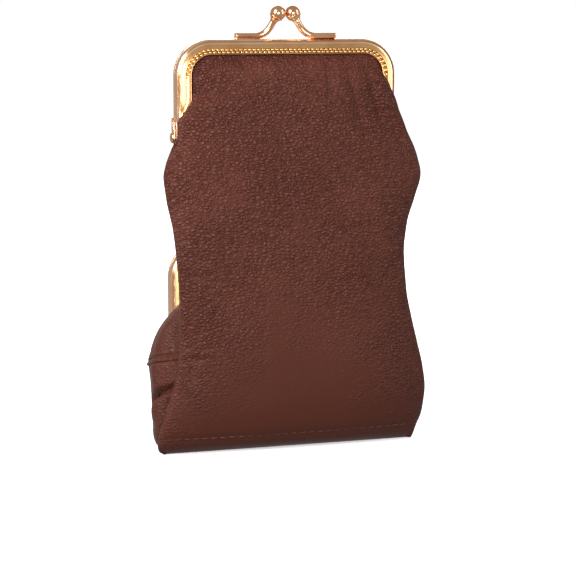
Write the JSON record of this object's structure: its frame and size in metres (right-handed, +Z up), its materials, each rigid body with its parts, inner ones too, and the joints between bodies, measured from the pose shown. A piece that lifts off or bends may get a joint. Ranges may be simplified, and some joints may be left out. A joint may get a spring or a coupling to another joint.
{
  "type": "clasp frame coin purse",
  "caption": "Tall soft leather purse with a ball clasp frame on top and a smaller clasp framed coin pocket on its back.",
  "frame": {"origin": "centre of the object's box, at the flat base it stands on", "axes": "+Z up from the base to the clasps; +X along the clasp frames' hinges, to the right seen from the front; -Y out of the front panel, +Y out of the coin pocket"},
  "size_m": [0.0942, 0.0346, 0.1496],
  "materials": {
    "gold_metal": "polished light gold plating with a pinkish outer edge",
    "maroon_leather": "pebble grained, satin",
    "lining_cloth": "woven twill",
    "packing_card": "matt",
    "thread": "waxed thread"
  },
  "bodies": {
    "pouch": {"front_panel": "maroon_leather", "rear_panel": "maroon_leather", "main_lining_front": "lining_cloth", "main_lining_rear": "lining_cloth", "coin_inner_panel": "maroon_leather", "coin_outer_panel": "maroon_leather", "coin_gusset_left": "maroon_leather", "coin_gusset_right": "maroon_leather", "coin_lining_inner": "lining_cloth", "coin_lining_outer": "lining_cloth", "base_board": "packing_card", "base_stitching": "thread", "coin_frame_inner": "gold_metal", "coin_clasp_arm_inner": "gold_metal", "coin_clasp_ball_inner": "gold_metal", "coin_channel_cord_inner": "packing_card", "coin_hinge_rivets": "gold_metal"},
    "main_front_half": {"main_frame_front": "gold_metal", "main_clasp_arm_front": "gold_metal", "main_clasp_ball_front": "gold_metal", "main_channel_cord_front": "packing_card", "front_panel_top": "maroon_leather", "main_lining_front_top": "lining_cloth"},
    "main_rear_half": {"main_frame_rear": "gold_metal", "main_clasp_arm_rear": "gold_metal", "main_clasp_ball_rear": "gold_metal", "main_channel_cord_rear": "packing_card", "main_hinge_rivets": "gold_metal", "rear_panel_top": "maroon_leather", "main_lining_rear_top": "lining_cloth"},
    "coin_outer_half": {"coin_frame_outer": "gold_metal", "coin_clasp_arm_outer": "gold_metal", "coin_clasp_ball_outer": "gold_metal", "coin_channel_cord_outer": "packing_card", "coin_outer_panel_top": "maroon_leather", "coin_lining_outer_top": "lining_cloth"}
  },
  "joints": [
    {"name": "main_front_hinge", "type": "hinge", "parent": "pouch", "child": "main_front_half", "pos_m": [0, 0.0001, 0.106], "axis": [1, 0, 0], "range_deg": [0, 45]},
    {"name": "main_rear_hinge", "type": "hinge", "parent": "pouch", "child": "main_rear_half", "pos_m": [0, 0.0001, 0.106], "axis": [1, 0, 0], "range_deg": [-45, 0]},
    {"name": "coin_hinge", "type": "hinge", "parent": "pouch", "child": "coin_outer_half", "pos_m": [0, 0.0107, 0.037], "axis": [-1, 0, 0], "range_deg": [0, 60]}
  ],
  "couplings": [
    {"joint": "main_rear_hinge", "follows": "main_front_hinge", "ratio": -1}
  ]
}
